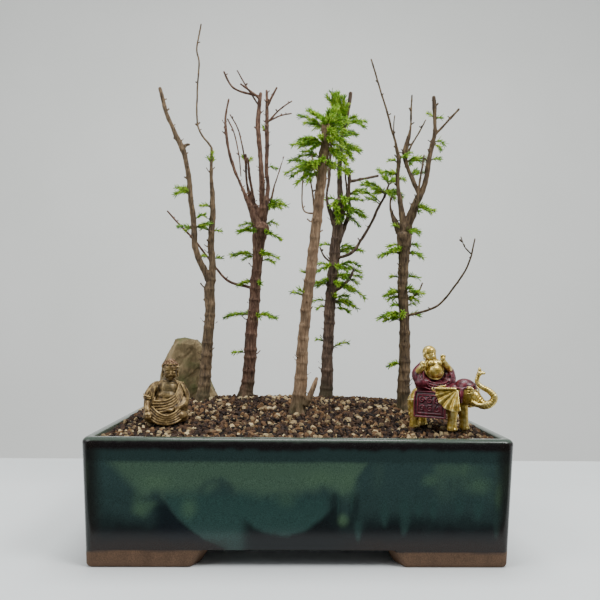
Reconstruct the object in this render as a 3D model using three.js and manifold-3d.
// A bonsai forest in a rectangular glazed pot: five deciduous conifers with bare, pruned tops and fresh
// spring foliage, planted in gritty soil with a standing stone and two small cast figurines.
// Millimetres, +Z up. The origin is the centre of the pot's footprint, on the table; the front is -Y.
import * as THREE from "three";
import { mergeVertices } from "three/addons/utils/BufferGeometryUtils.js";
import Module from "manifold-3d";

const wasm = await Module();
wasm.setup();

const GAP = 0.3; // air left between two pieces that touch
const CUT = 2 * GAP; // how much larger a cutter is than the piece that it makes room for

// ---------------------------------------------------------------- driving dimensions

const POT = {
  length: 400, // outside, at the lip
  depth: 290,
  height: 118,
  taper: 6, // how far each side leans in from the lip to the table
  wall: 10,
  corner: 9, // radius of the upright corners
  lip: 5, // radius of the rounded outer edge of the lip
  foot: 16, // height of the four corner feet
  footWidth: 18, // how far the foot ring reaches in from the outside
  floor: 9,
};
const FEET = { frontGap: 206, sideGap: 118, slope: 11 }; // open lengths between the feet at the table
const DRAIN = { x: 100, radius: 12 };
const SCREEN = { size: 40, thick: 1, hole: 6.5, pitch: 9, count: 4 };
const CLIP = { wire: 1.6, leg: SCREEN.pitch / 2, splay: 18, below: 1.5 };
const SOIL = { edge: 115, mound: 22, crestY: 55, front: 190, back: 85, reach: 200 };
const ROOTS = { count: 4, reach: 25, under: 16, thick: 6 };
const LEAF = { thick: 0.9, collar: 0.9, width: 0.11, waist: 0.45 };

const RIM_Z = POT.height;
const FLOOR_Z = POT.foot + POT.floor;

// ---------------------------------------------------------------- materials

const material = (color, roughness, metalness = 0) =>
  new THREE.MeshStandardMaterial({ color, roughness, metalness });
const GLAZE = material(0x1f3b38, 0.2);
const SCREEN_PLASTIC = material(0x1b1b1b, 0.6);
const WIRE = material(0x8d8f91, 0.35, 1);
const GRIT = material(0x5a4334, 0.95);
const ROCK = material(0x6e6650, 0.9);
const BRONZE_RESIN = material(0x7a6338, 0.45, 0.4);
const GOLD_RESIN = material(0xb9993f, 0.35, 0.7);
const BARK = material(0x7a5a44, 0.9);
const ROOT = material(0x5d4432, 0.95);
const NEEDLE = material(0x6fae2a, 0.6);

// ---------------------------------------------------------------- solids

// A three.js geometry as a manifold-3d solid, for booleans only.
function solid(geometry) {
  const bare = new THREE.BufferGeometry().setAttribute("position", geometry.getAttribute("position"));
  if (geometry.index) bare.setIndex(geometry.index);
  const merged = mergeVertices(bare, 1e-4);
  return new wasm.Manifold(
    new wasm.Mesh({
      numProp: 3,
      vertProperties: merged.attributes.position.array,
      triVerts: new Uint32Array(merged.index.array),
    }),
  );
}

function geometryOf(manifold) {
  const { vertProperties, triVerts } = manifold.getMesh();
  return new THREE.BufferGeometry()
    .setAttribute("position", new THREE.BufferAttribute(vertProperties, 3))
    .setIndex(new THREE.BufferAttribute(triVerts, 1));
}

const joined = (solids) => solids.reduce((sum, next) => sum.add(next));

// The closed surface through a row of equal rings, with a point at each end.
function skin(rings, startPole, endPole) {
  const count = rings[0].length;
  const points = [...rings.flat(), startPole, endPole];
  const start = rings.length * count;
  const end = start + 1;
  const faces = [];
  for (let side = 0; side < count; side++) {
    const next = (side + 1) % count;
    faces.push(start, next, side);
    for (let row = 0; row + 1 < rings.length; row++) {
      const low = row * count;
      const high = low + count;
      faces.push(low + side, low + next, high + next, low + side, high + next, high + side);
    }
    const last = (rings.length - 1) * count;
    faces.push(last + side, last + next, end);
  }
  return new THREE.BufferGeometry().setFromPoints(points).setIndex(faces);
}

const CORNER_STEPS = 3;

// An upright rectangle with round corners, as a ring of points at height z.
function roundedRing(halfX, halfY, radius, z) {
  const ring = [];
  for (let corner = 0; corner < 4; corner++) {
    const centreX = (corner === 0 || corner === 3 ? 1 : -1) * (halfX - radius);
    const centreY = (corner < 2 ? 1 : -1) * (halfY - radius);
    for (let step = 0; step <= CORNER_STEPS; step++) {
      const angle = ((corner + step / CORNER_STEPS) * Math.PI) / 2;
      ring.push(new THREE.Vector3(centreX + radius * Math.cos(angle), centreY + radius * Math.sin(angle), z));
    }
  }
  return ring;
}

// rows is a list of [inset from the lip's outside, z].
function potLoft(rows) {
  const rings = rows.map(([inset, z]) =>
    roundedRing(POT.length / 2 - inset, POT.depth / 2 - inset, Math.max(POT.corner - inset / 2, 3), z),
  );
  const pole = ([, z]) => new THREE.Vector3(0, 0, z);
  return solid(skin(rings, pole(rows[0]), pole(rows[rows.length - 1])));
}

function block(sizeX, sizeY, sizeZ, x, y, z) {
  return solid(new THREE.BoxGeometry(sizeX, sizeY, sizeZ).translate(x, y, z));
}

function upright(radius, low, high, x, y, sides = 16) {
  const geometry = new THREE.CylinderGeometry(radius, radius, high - low, sides).rotateX(Math.PI / 2);
  return solid(geometry.translate(x, y, (low + high) / 2));
}

function ellipsoid([x, y, z], [halfX, halfY, halfZ], across = 10, down = 6) {
  return solid(new THREE.SphereGeometry(1, across, down).scale(halfX, halfY, halfZ).translate(x, y, z));
}

// ---------------------------------------------------------------- stems

const stemPoint = ([x, y, z]) => new THREE.Vector3(x, y, z);

function stemTangent(points, i) {
  const before = stemPoint(points[Math.max(i - 1, 0)]);
  const after = stemPoint(points[Math.min(i + 1, points.length - 1)]);
  return after.sub(before).normalize();
}

// A tapering stem through points [x, y, z, diameter], with rounded ends. swell is added all round.
function stem(points, sides, swell = 0) {
  let normal = new THREE.Vector3(1, 0, 0);
  const rings = points.map((point, i) => {
    const tangent = stemTangent(points, i);
    normal = normal.clone().addScaledVector(tangent, -normal.dot(tangent)).normalize();
    const side = tangent.clone().cross(normal);
    const radius = point[3] / 2 + swell;
    return Array.from({ length: sides }, (_, k) => {
      const angle = (2 * Math.PI * k) / sides;
      return stemPoint(point)
        .addScaledVector(normal, radius * Math.cos(angle))
        .addScaledVector(side, radius * Math.sin(angle));
    });
  });
  const pole = (i, way) =>
    stemPoint(points[i]).addScaledVector(stemTangent(points, i), way * (0.175 * points[i][3] + swell));
  return solid(skin(rings, pole(0, -1), pole(points.length - 1, 1)));
}

// Where a stem is at a height: its centre, its direction and its radius.
function seatAt(points, height) {
  let i = 0;
  while (i + 2 < points.length && points[i + 1][2] < height) i++;
  const [low, high] = [points[i], points[i + 1]];
  const share = (height - low[2]) / (high[2] - low[2]);
  return {
    centre: stemPoint(low).lerp(stemPoint(high), share),
    tangent: stemPoint(high).sub(stemPoint(low)).normalize(),
    radius: (low[3] + share * (high[3] - low[3])) / 2,
  };
}

// A whorl of leaf sprays round a stem: flat, pointed blades on an open collar, each [azimuth, length].
// Azimuth 0 is +X and 90 is +Y, and the blades are listed in turn. rise is how steeply they climb.
function whorl(points, height, rise, blades) {
  const seat = seatAt(points, height);
  const inner = seat.radius + GAP + 0.4;
  const outer = inner + LEAF.collar;
  const polar = (radius, angle) => new THREE.Vector2(radius * Math.cos(angle), radius * Math.sin(angle));
  const arc = (radius, from, to) => {
    const steps = Math.max(1, Math.round(Math.abs(to - from) / 0.6));
    return Array.from({ length: steps + 1 }, (_, i) => polar(radius, from + ((to - from) * i) / steps));
  };
  const root = 1.1 / outer; // half the angle that a blade takes up on the collar
  const turns = blades.map(([azimuth]) => THREE.MathUtils.degToRad(azimuth));
  const outline = [];
  blades.forEach(([, length], i) => {
    const waist = outer + LEAF.waist * length;
    const half = (LEAF.width * length) / waist;
    if (i) outline.push(...arc(outer, turns[i - 1] + root, turns[i] - root).slice(1, -1));
    outline.push(polar(outer, turns[i] - root), polar(waist, turns[i] - half));
    outline.push(polar(inner + length, turns[i]), polar(waist, turns[i] + half));
    outline.push(polar(outer, turns[i] + root));
  });
  outline.push(...arc(inner, turns[turns.length - 1] + root, turns[0] - root));
  const flat = new THREE.ExtrudeGeometry(new THREE.Shape(outline), { depth: LEAF.thick, bevelEnabled: false });
  const spots = flat.attributes.position;
  for (let i = 0; i < spots.count; i++) {
    const out = Math.max(0, Math.hypot(spots.getX(i), spots.getY(i)) - outer);
    spots.setZ(i, spots.getZ(i) + rise * out - (0.3 * out * out) / 20);
  }
  const across = new THREE.Vector3(1, 0, 0).addScaledVector(seat.tangent, -seat.tangent.x).normalize();
  const deep = seat.tangent.clone().cross(across);
  const place = new THREE.Matrix4().makeBasis(across, deep, seat.tangent).setPosition(seat.centre);
  return flat.applyMatrix4(place);
}

// ---------------------------------------------------------------- pot

function pot() {
  const lipTop = POT.lip * (1 - Math.SQRT1_2);
  const innerLean = (POT.taper * (RIM_Z - FLOOR_Z)) / POT.height;
  const body = potLoft([
    [POT.taper, 0],
    [0, RIM_Z - POT.lip],
    [lipTop, RIM_Z - lipTop],
    [POT.lip, RIM_Z],
    [POT.wall - 1.5, RIM_Z],
    [POT.wall, RIM_Z - 1.5],
    [POT.wall + innerLean, FLOOR_Z],
  ]);
  const recess = potLoft([
    [POT.taper + POT.footWidth, -1],
    [POT.taper + POT.footWidth, POT.foot],
  ]);
  const gapPrism = (open, reach) => {
    const half = open / 2;
    const outline = [
      new THREE.Vector2(-half, -1),
      new THREE.Vector2(half, -1),
      new THREE.Vector2(half - FEET.slope, POT.foot),
      new THREE.Vector2(FEET.slope - half, POT.foot),
    ];
    const prism = new THREE.ExtrudeGeometry(new THREE.Shape(outline), { depth: reach, bevelEnabled: false });
    return prism.rotateX(Math.PI / 2).translate(0, reach / 2, 0);
  };
  const frontGap = solid(gapPrism(FEET.frontGap, POT.depth + 20));
  const sideGap = solid(gapPrism(FEET.sideGap, POT.length + 20).rotateZ(Math.PI / 2));
  const holes = [-DRAIN.x, DRAIN.x].map((x) => upright(DRAIN.radius, POT.foot - 1, FLOOR_Z + 1, x, 0));
  return geometryOf([recess, frontGap, sideGap, ...holes].reduce((left, cutter) => left.subtract(cutter), body));
}

function drainScreen() {
  const first = (-(SCREEN.count - 1) * SCREEN.pitch) / 2;
  const spots = Array.from({ length: SCREEN.count }, (_, i) => first + i * SCREEN.pitch);
  const hole = (x, y) => block(SCREEN.hole, SCREEN.hole, SCREEN.thick + 2, x, y, SCREEN.thick / 2);
  const holes = spots.flatMap((x) => spots.map((y) => hole(x, y)));
  return geometryOf(block(SCREEN.size, SCREEN.size, SCREEN.thick, 0, 0, SCREEN.thick / 2).subtract(joined(holes)));
}

// A staple of wire over the screen, whose legs go down the drain hole and turn out under the pot's floor.
function screenClip() {
  const over = FLOOR_Z + GAP + SCREEN.thick + GAP + CLIP.wire / 2;
  const under = POT.foot - CLIP.below;
  const { leg, splay, wire } = CLIP;
  const route = [
    [0, -splay, under - 1, wire],
    [0, -leg - 1, under, wire],
    [0, -leg, under + 1.5, wire],
    [0, -leg, over - 1, wire],
    [0, -leg + 1, over, wire],
    [0, leg - 1, over, wire],
    [0, leg, over - 1, wire],
    [0, leg, under + 1.5, wire],
    [0, leg + 1, under, wire],
    [0, splay, under - 1, wire],
  ];
  return geometryOf(stem(route, 6));
}

// ---------------------------------------------------------------- trees

// Stems are [x, y, z, diameter] from the base up. A trunk starts inside the soil; every other stem starts
// inside its parent, which cuts it back to its bark.
const STEMS = {
  trunk_1: {
    sides: 10,
    points: [
      [-113, 39, 118, 24],
      [-112, 40, 133, 17],
      [-109, 40, 168, 13.4],
      [-107, 40, 206, 12.6],
      [-105, 40, 240, 12],
      [-106, 40, 266, 12.6],
      [-103, 41, 285, 9],
      [-105, 42, 322, 7.8],
      [-104, 42, 374, 6.6],
      [-106, 42, 397, 4.8],
      [-107, 42, 440, 3.6],
    ],
  },
  stem_1_left: {
    sides: 8,
    parent: "trunk_1",
    points: [
      [-107, 38, 262, 8],
      [-116, 36, 287, 7.6],
      [-122, 35, 313, 7.2],
      [-126, 34, 349, 6.6],
      [-131, 33, 386, 6.2],
      [-136, 33, 422, 5.8],
      [-142, 33, 438, 7],
      [-151, 34, 457, 5.2],
      [-161, 35, 479, 5],
      [-170, 36, 511, 4.6],
    ],
  },
  twig_1_top: {
    sides: 6,
    parent: "trunk_1",
    points: [
      [-106, 42, 408, 2.6],
      [-117, 44, 438, 2.3],
      [-124, 46, 467, 2.2],
      [-126, 47, 510, 2.1],
      [-125, 48, 548, 2],
      [-128, 48, 566, 2],
      [-123, 48, 598, 1.8],
    ],
  },
  trunk_2: {
    sides: 10,
    points: [
      [-62, 59, 120, 27],
      [-61, 60, 137, 19],
      [-59, 60, 158, 15.8],
      [-55, 60, 216, 14.8],
      [-52, 60, 262, 13.4],
      [-50, 60, 290, 12.6],
      [-48, 60, 312, 13],
      [-47, 60, 330, 17],
      [-44, 60, 347, 19],
    ],
  },
  stem_2_left: {
    sides: 8,
    parent: "trunk_2",
    points: [
      [-52, 57, 341, 5.2],
      [-60, 56, 360, 5],
      [-67, 55, 388, 4.5],
      [-80, 53, 419, 3.9],
      [-87, 52, 443, 3.6],
      [-91, 52, 476, 3.2],
      [-88, 52, 505, 2.4],
    ],
  },
  stem_2_inner: {
    sides: 6,
    parent: "trunk_2",
    points: [
      [-49, 65, 343, 4.4],
      [-57, 67, 366, 4.2],
      [-63, 68, 395, 3.9],
      [-66, 67, 440, 3.2],
    ],
  },
  stem_2_centre: {
    sides: 8,
    parent: "trunk_2",
    points: [
      [-42, 55, 342, 7.2],
      [-42, 51, 366, 7],
      [-45, 50, 410, 6.3],
      [-49, 50, 449, 6],
      [-51, 50, 474, 6],
      [-50, 51, 494, 5],
      [-48, 52, 513, 4],
    ],
  },
  stem_2_right: {
    sides: 8,
    parent: "trunk_2",
    points: [
      [-39, 65, 342, 7],
      [-34, 69, 366, 6.4],
      [-38, 70, 392, 5.4],
      [-40, 70, 420, 5.2],
      [-40, 70, 450, 5.2],
      [-40, 69, 486, 5],
      [-41, 68, 523, 2.8],
    ],
  },
  twig_2_top_left: {
    sides: 6,
    parent: "stem_2_centre",
    points: [
      [-51, 50, 473, 3.4],
      [-67, 48, 497, 2.9],
      [-81, 47, 517, 2.6],
      [-94, 46, 537, 2.3],
    ],
  },
  branch_2_low: {
    sides: 6,
    parent: "trunk_2",
    points: [
      [-55, 61, 243, 4.4],
      [-67, 64, 258, 3.7],
      [-84, 68, 278, 3.2],
      [-101, 70, 294, 2.8],
      [-114, 70, 311, 2.6],
      [-131, 68, 332, 2.5],
      [-147, 66, 348, 2.3],
      [-163, 64, 365, 2],
    ],
  },
  trunk_3: {
    sides: 10,
    points: [
      [0, -26, 112, 22],
      [1, -25, 130, 16],
      [3, -25, 157, 14.4],
      [5, -25, 190, 13],
      [7, -25, 224, 12.2],
      [10, -25, 252, 11.8],
      [14, -25, 290, 11.8],
      [18, -25, 328, 11.4],
      [23, -25, 374, 11.2],
      [26, -25, 404, 11.2],
      [28, -25, 430, 10.2],
      [29, -25, 449, 8.8],
    ],
  },
  twig_3_left: {
    sides: 6,
    parent: "trunk_3",
    points: [
      [16, -25, 313, 2.2],
      [8, -24, 329, 1.8],
      [5, -24, 352, 1.7],
      [3, -23, 376, 1.6],
      [5, -23, 395, 1.5],
    ],
  },
  trunk_4: {
    sides: 10,
    points: [
      [37, 60, 120, 25],
      [38, 60, 138, 17],
      [38, 60, 160, 15],
      [40, 60, 215, 13.4],
      [43, 60, 271, 13.2],
      [47, 60, 310, 13.2],
      [50, 60, 355, 13],
      [53, 60, 381, 14],
    ],
  },
  stem_4_main: {
    sides: 8,
    parent: "trunk_4",
    points: [
      [53, 60, 376, 7.6],
      [55, 60, 401, 6.8],
      [52, 60, 424, 5.8],
      [54, 60, 455, 5.2],
      [57, 60, 474, 5.8],
      [62, 60, 496, 4.8],
      [65, 60, 519, 4.8],
    ],
  },
  stem_4_left: {
    sides: 6,
    parent: "trunk_4",
    points: [
      [46, 58, 309, 5],
      [36, 53, 338, 4.3],
      [36, 51, 379, 3.8],
      [38, 50, 407, 3.7],
      [40, 49, 444, 3.3],
      [42, 49, 477, 2.9],
    ],
  },
  stem_4_right: {
    sides: 6,
    parent: "trunk_4",
    points: [
      [49, 62, 313, 5.2],
      [61, 67, 338, 4.8],
      [64, 69, 364, 4.5],
      [65, 70, 392, 4.2],
      [65, 70, 420, 3.8],
    ],
  },
  branch_4_side: {
    sides: 6,
    parent: "stem_4_right",
    points: [
      [65, 70, 406, 3.8],
      [78, 72, 410, 3.5],
      [90, 73, 414, 3.2],
      [103, 74, 417, 2.8],
    ],
  },
  branch_4_long: {
    sides: 6,
    parent: "trunk_4",
    points: [
      [47, 57, 290, 5],
      [58, 49, 303, 4.1],
      [67, 45, 314, 3.8],
      [77, 42, 328, 3.6],
      [89, 39, 349, 3.4],
      [97, 37, 367, 3.3],
      [105, 35, 383, 3],
      [110, 34, 396, 2.7],
    ],
  },
  trunk_5: {
    sides: 10,
    points: [
      [123, 0, 113, 24],
      [123, 0, 130, 17],
      [122, 0, 146, 14.9],
      [123, 0, 186, 12.8],
      [123, 0, 240, 11.4],
      [121, 0, 268, 11.4],
      [122, 0, 300, 12],
      [123, 0, 315, 14.5],
      [123, 0, 329, 18],
    ],
  },
  stem_5_right: {
    sides: 8,
    parent: "trunk_5",
    points: [
      [127, -1, 324, 9],
      [133, -3, 350, 8.8],
      [136, -4, 368, 9.4],
      [142, -5, 380, 6.8],
      [147, -5, 396, 5.8],
      [153, -5, 430, 5.5],
      [157, -5, 452, 4.9],
      [156, -5, 492, 4.4],
    ],
  },
  stem_5_centre: {
    sides: 6,
    parent: "stem_5_right",
    points: [
      [135, -2, 366, 5],
      [129, 4, 388, 4.6],
      [127, 6, 412, 4.7],
      [125, 7, 428, 6.6],
      [128, 7, 443, 4.6],
      [131, 7, 457, 3],
      [132, 7, 480, 2.4],
      [133, 7, 498, 2.1],
    ],
  },
  stem_5_left: {
    sides: 6,
    parent: "trunk_5",
    points: [
      [119, 1, 324, 5.8],
      [118, 2, 353, 5],
      [117, 3, 380, 4.8],
      [116, 4, 402, 4.6],
      [117, 5, 424, 4.8],
    ],
  },
  stem_5_outer: {
    sides: 6,
    parent: "trunk_5",
    points: [
      [117, 4, 322, 4.4],
      [110, 9, 344, 3.8],
      [109, 11, 360, 3.5],
      [109, 12, 376, 3],
    ],
  },
  twig_5_top: {
    sides: 6,
    parent: "stem_5_left",
    points: [
      [117, 5, 420, 3.4],
      [111, 6, 451, 2.8],
      [104, 6, 473, 2.4],
      [97, 6, 496, 2.1],
      [90, 6, 520, 2],
      [84, 6, 540, 1.8],
    ],
  },
  branch_5_low: {
    sides: 6,
    parent: "trunk_5",
    points: [
      [124, -2, 226, 3.8],
      [137, -12, 235, 3],
      [151, -20, 244, 2.6],
      [163, -28, 255, 2.3],
      [173, -36, 269, 2.1],
      [182, -43, 285, 2],
      [187, -47, 300, 1.8],
      [190, -51, 319, 1.5],
    ],
  },
};

// Foliage: name, the stem it grows on, its height, how steeply it climbs, and its blades.
const WHORLS = [
  ["foliage_1_upper", "stem_1_left", 381, 0.5, [[165, 14], [235, 11]]],
  ["foliage_1_lower", "stem_1_left", 340, 0.5, [[-25, 15], [15, 14], [172, 15]]],
  ["foliage_2_fork", "trunk_2", 337, 0.3, [[-60, 12], [10, 14], [170, 19], [200, 18]]],
  ["foliage_2_stem", "stem_2_right", 372, 0.4, [[-30, 16], [5, 17], [40, 14]]],
  ["foliage_2_trunk", "trunk_2", 311, 0.3, [[-70, 11], [5, 15], [168, 22], [198, 26]]],
  ["foliage_2_low", "trunk_2", 236, 0.3, [[-25, 17], [8, 20], [160, 20], [192, 27]]],
  ["foliage_3_lower", "trunk_3", 402, 0.2, [[-60, 16], [-25, 15], [130, 20], [158, 30], [186, 33], [214, 24], [245, 16]]],
  ["foliage_3_upper", "trunk_3", 427, 0.4, [[-40, 15], [25, 16], [125, 17], [155, 24], [185, 29], [215, 22]]],
  ["foliage_3_top", "trunk_3", 445, 0.9, [[-75, 14], [-30, 18], [15, 21], [60, 20], [105, 19], [150, 22], [190, 25]]],
  ["foliage_4_top", "stem_4_main", 477, 0.8, [[-60, 16], [-15, 22], [25, 22], [80, 16], [140, 22], [185, 20], [225, 18]]],
  ["foliage_4_upper", "stem_4_main", 448, 0.3, [[-75, 15], [-35, 18], [0, 21], [50, 16], [110, 14]]],
  ["foliage_4_fork", "trunk_4", 367, 0.3, [[-100, 18], [-65, 22], [-32, 28], [0, 22]]],
  ["foliage_4_trunk", "trunk_4", 297, 0.4, [[12, 28], [50, 22], [180, 16]]],
  ["foliage_4_middle", "trunk_4", 276, 0.2, [[-75, 18], [-38, 24], [-8, 34], [25, 22], [165, 17], [195, 18]]],
  ["foliage_4_low", "trunk_4", 255, 0.2, [[-30, 22], [0, 26], [30, 18], [180, 15]]],
  ["foliage_4_branch", "branch_4_long", 386, 0.5, [[-45, 18], [5, 16], [60, 24], [110, 22], [170, 28], [205, 28]]],
  ["foliage_5_centre", "stem_5_centre", 418, 0.3, [[-20, 18], [15, 17], [60, 12]]],
  ["foliage_5_fork", "stem_5_right", 360, 0.3, [[-60, 13], [-25, 15], [10, 14]]],
  ["foliage_5_neck", "trunk_5", 306, 0.3, [[-20, 12], [10, 15], [170, 21], [200, 18]]],
  ["foliage_5_trunk", "trunk_5", 262, 0.2, [[-15, 15], [20, 13], [168, 14], [200, 13]]],
  ["foliage_5_low", "trunk_5", 236, 0.3, [[20, 13], [150, 17], [180, 23], [210, 15], [250, 11]]],
];

function stemSolid(name, swell = 0) {
  const { points, sides, parent } = STEMS[name];
  const grown = stem(points, sides, swell);
  return parent ? grown.subtract(stem(STEMS[parent].points, STEMS[parent].sides, GAP)) : grown;
}

// The pruned root pad under a trunk: a crown with thick roots spreading from it.
function rootPad(points, swell = 0) {
  const [x, y, z, diameter] = points[0];
  const top = z - 0.175 * diameter - GAP;
  const crown = solid(
    new THREE.SphereGeometry(1, 8, 4)
      .rotateX(Math.PI / 2)
      .scale(diameter / 2 + swell, diameter / 2 + swell, ROOTS.under / 2 + swell)
      .translate(x, y, top - ROOTS.under / 2 - CUT),
  );
  const roots = Array.from({ length: ROOTS.count }, (_, i) => {
    const turn = (2 * Math.PI * (i + 0.3)) / ROOTS.count;
    const at = (out, down, thick) => [x + out * Math.cos(turn), y + out * Math.sin(turn), top - down, thick];
    return stem([at(2, 8, ROOTS.thick + 1), at(14, 10, ROOTS.thick), at(ROOTS.reach, 22, ROOTS.thick / 2)], 5, swell);
  });
  return joined([crown, ...roots]);
}

// ---------------------------------------------------------------- stone and figurines

const STONE = { x: -132, y: 76, thick: 20, bevel: 7 };

// A slab of rock stood on end: an outline in X and Z, chamfered towards both faces.
function standingStone(swell = 0) {
  const outline = [
    [-38, 118],
    [38, 117],
    [36, 131],
    [27, 147],
    [22, 168],
    [15, 198],
    [7, 205],
    [-8, 208],
    [-19, 206],
    [-28, 188],
    [-35, 175],
    [-38, 150],
  ].map(([x, z]) => new THREE.Vector2(x, z));
  const slab = new THREE.ExtrudeGeometry(new THREE.Shape(outline), {
    depth: STONE.thick,
    bevelThickness: STONE.bevel,
    bevelSize: STONE.bevel,
    bevelOffset: swell - STONE.bevel,
    bevelSegments: 1,
  });
  const deep = (STONE.thick + 2 * swell) / STONE.thick;
  const centred = slab.translate(0, 0, -STONE.thick / 2).scale(1, 1, deep);
  return solid(centred.rotateX(Math.PI / 2).translate(STONE.x, STONE.y, 0));
}

const SEATED = { x: -137.5, y: -61, z: 119.3, turn: 8, halfX: 21, halfY: 16 };

// A robed figure seated on its crossed legs, facing -Y, in its own frame.
function seatedFigure() {
  const arm = (side) =>
    stem([[side * 10, 3, 41, 11], [side * 17.5, 1, 27, 11], [side * 18, -6, 18, 10], [side * 8, -13, 16, 8]], 8);
  return joined([
    solid(new THREE.CylinderGeometry(1, 1, 7, 16).rotateX(Math.PI / 2).scale(SEATED.halfX, SEATED.halfY, 1).translate(0, 0, 3.5)),
    ellipsoid([0, -1, 9], [23, 17.5, 8.9]),
    ellipsoid([0, 3, 25], [15, 10.5, 21]),
    ellipsoid([2, 3, 39], [13.5, 9, 8]),
    arm(-1),
    arm(1),
    ellipsoid([3, 1, 48], [5, 5, 6], 8, 5),
    ellipsoid([3.5, -1, 57], [9.8, 10, 11]),
    ellipsoid([3.5, 1.5, 65], [4.6, 4.6, 4.4], 8, 5),
  ]);
}

const ELEPHANT = { x: 139, y: -77, z: 119, turn: -33, riderTurn: 12, leg: 6 };
const LEG_SPOTS = [
  [29, 6],
  [23, -9],
  [-16, 9],
  [-17, -8.5],
];

// The rider: round, robed and seated, facing -Y, in a frame of its own.
function rider() {
  return joined([
    ellipsoid([0, 0, 45], [20.5, 14, 8]),
    ellipsoid([-1, 1, 56], [16, 11, 15]),
    ellipsoid([-2, -6, 60], [10, 8.5, 10.5]),
    stem([[-3, 0, 62, 14], [-6, -3, 72, 9]], 8),
    ellipsoid([-6, -3, 76.5], [7.2, 7.4, 7.6]),
    stem([[8, 1, 65, 9], [16, 0, 56, 10], [13, -7, 61, 7], [6, -10, 71, 5.5]], 8),
    stem([[-12, 1, 65, 9], [-18, 0, 55, 10], [-18, -5, 60, 7], [-16, -8, 66, 5]], 8),
  ]);
}

// The rider on a walking elephant with its trunk raised. The elephant faces +X in the figure's own frame.
function elephantFigure() {
  const legs = LEG_SPOTS.map(([x, y]) => upright(ELEPHANT.leg, 0, 24, x, y, 10));
  const trunk = stem(
    [[44, 0, 32, 13], [51, 1, 26, 9], [58, 2, 28, 7.5], [62, 2, 35, 6.8], [57, 1, 42, 6.2], [49, -1, 48, 5.6], [47, -2, 55, 5.4], [50, -1, 62, 6.4]],
    8,
  );
  const ear = (side) => ellipsoid([21, side * 15, 34], [11, 3.4, 12.5], 10, 5);
  const cloth = block(32, 40, 32, 3, 0, 29).intersect(ellipsoid([3, 0, 26], [60, 19, 18], 14, 10));
  return joined([
    ellipsoid([3, 0, 28], [26, 15, 15]),
    ...legs,
    ellipsoid([37, 0, 37], [13, 11.5, 13]),
    trunk,
    ear(-1),
    ear(1),
    stem([[-20, 0, 33, 4], [-25, 0, 27, 3], [-26, 0, 15, 3]], 6),
    cloth,
    rider().rotate([0, 0, ELEPHANT.riderTurn - ELEPHANT.turn]),
  ]);
}

// ---------------------------------------------------------------- soil

// How high the soil stands: heaped round the trees, and level with the lip at the walls.
function soilHeight(x, y) {
  const away = y - SOIL.crestY;
  const along = Math.cos((Math.PI / 2) * Math.min(1, Math.abs(away) / (away < 0 ? SOIL.front : SOIL.back))) ** 2;
  return SOIL.edge + SOIL.mound * along * (1 - (Math.abs(x) / SOIL.reach) ** 4);
}

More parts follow.
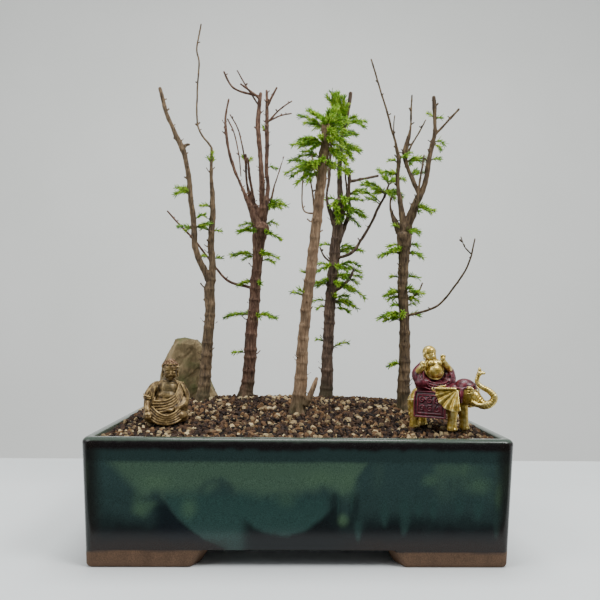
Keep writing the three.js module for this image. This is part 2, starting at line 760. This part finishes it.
function soil() {
  const columns = 12;
  const rows = 10;
  const bed = new THREE.BoxGeometry(POT.length, POT.depth, 200, columns, rows, 1);
  const spots = bed.attributes.position;
  for (let i = 0; i < spots.count; i++) {
    if (spots.getZ(i) > 0) spots.setZ(i, soilHeight(spots.getX(i), spots.getY(i)));
  }
  const inset = POT.wall + CUT;
  const lean = (POT.taper * (RIM_Z - FLOOR_Z)) / POT.height;
  const room = potLoft([
    [inset + lean, FLOOR_Z + GAP],
    [inset, RIM_Z],
    [inset, RIM_Z + 40],
  ]);
  const trunks = Object.keys(STEMS).filter((name) => name.startsWith("trunk"));
  const pocketTop = FLOOR_Z + GAP + SCREEN.thick + GAP + CLIP.wire + GAP;
  const pockets = [-DRAIN.x, DRAIN.x].map((x) => block(SCREEN.size + 1, SCREEN.size + 1, pocketTop, x, 0, pocketTop / 2));
  const seat = new THREE.CylinderGeometry(1, 1, 40, 20)
    .rotateX(Math.PI / 2)
    .scale(SEATED.halfX + 4, SEATED.halfY + 3.5, 1)
    .rotateZ(THREE.MathUtils.degToRad(SEATED.turn))
    .translate(SEATED.x, SEATED.y, SEATED.z - GAP + 20);
  const turn = THREE.MathUtils.degToRad(ELEPHANT.turn);
  const legHoles = LEG_SPOTS.map(([dx, dy]) => {
    const x = ELEPHANT.x + dx * Math.cos(turn) - dy * Math.sin(turn);
    const y = ELEPHANT.y + dx * Math.sin(turn) + dy * Math.cos(turn);
    return upright(ELEPHANT.leg + CUT, ELEPHANT.z - GAP, ELEPHANT.z + 30, x, y, 10);
  });
  const cutters = [
    ...trunks.map((name) => stemSolid(name, CUT)),
    ...trunks.map((name) => rootPad(STEMS[name].points, CUT)),
    ...pockets,
    standingStone(CUT),
    solid(seat),
    ...legHoles,
  ];
  return geometryOf(cutters.reduce((left, cutter) => left.subtract(cutter), solid(bed).intersect(room)));
}

// ---------------------------------------------------------------- assembly

const forest = new THREE.Group();

function add(name, geometry, finish, parent = forest) {
  const mesh = new THREE.Mesh(geometry, finish);
  mesh.name = name;
  parent.add(mesh);
  return mesh;
}

function figureGroup({ x, y, z, turn }) {
  const group = new THREE.Group();
  group.position.set(x, y, z);
  group.rotation.z = THREE.MathUtils.degToRad(turn);
  forest.add(group);
  return group;
}

add("pot", pot(), GLAZE);
for (const [side, x] of [["left", -DRAIN.x], ["right", DRAIN.x]]) {
  add(`drain_screen_${side}`, drainScreen(), SCREEN_PLASTIC).position.set(x, 0, FLOOR_Z + GAP);
  add(`screen_clip_${side}`, screenClip(), WIRE).position.x = x + SCREEN.pitch / 2;
}
add("soil", soil(), GRIT);
add("standing_stone", geometryOf(standingStone()), ROCK);
add("seated_figurine", geometryOf(seatedFigure()), BRONZE_RESIN, figureGroup(SEATED));
add("elephant_figurine", geometryOf(elephantFigure()), GOLD_RESIN, figureGroup(ELEPHANT));

for (const name of Object.keys(STEMS)) {
  add(name, geometryOf(stemSolid(name)), BARK);
  if (name.startsWith("trunk")) {
    add(name.replace("trunk", "roots"), geometryOf(rootPad(STEMS[name].points)), ROOT);
  }
}
for (const [name, on, height, rise, blades] of WHORLS) {
  add(name, whorl(STEMS[on].points, height, rise, blades), NEEDLE);
}

export default forest;
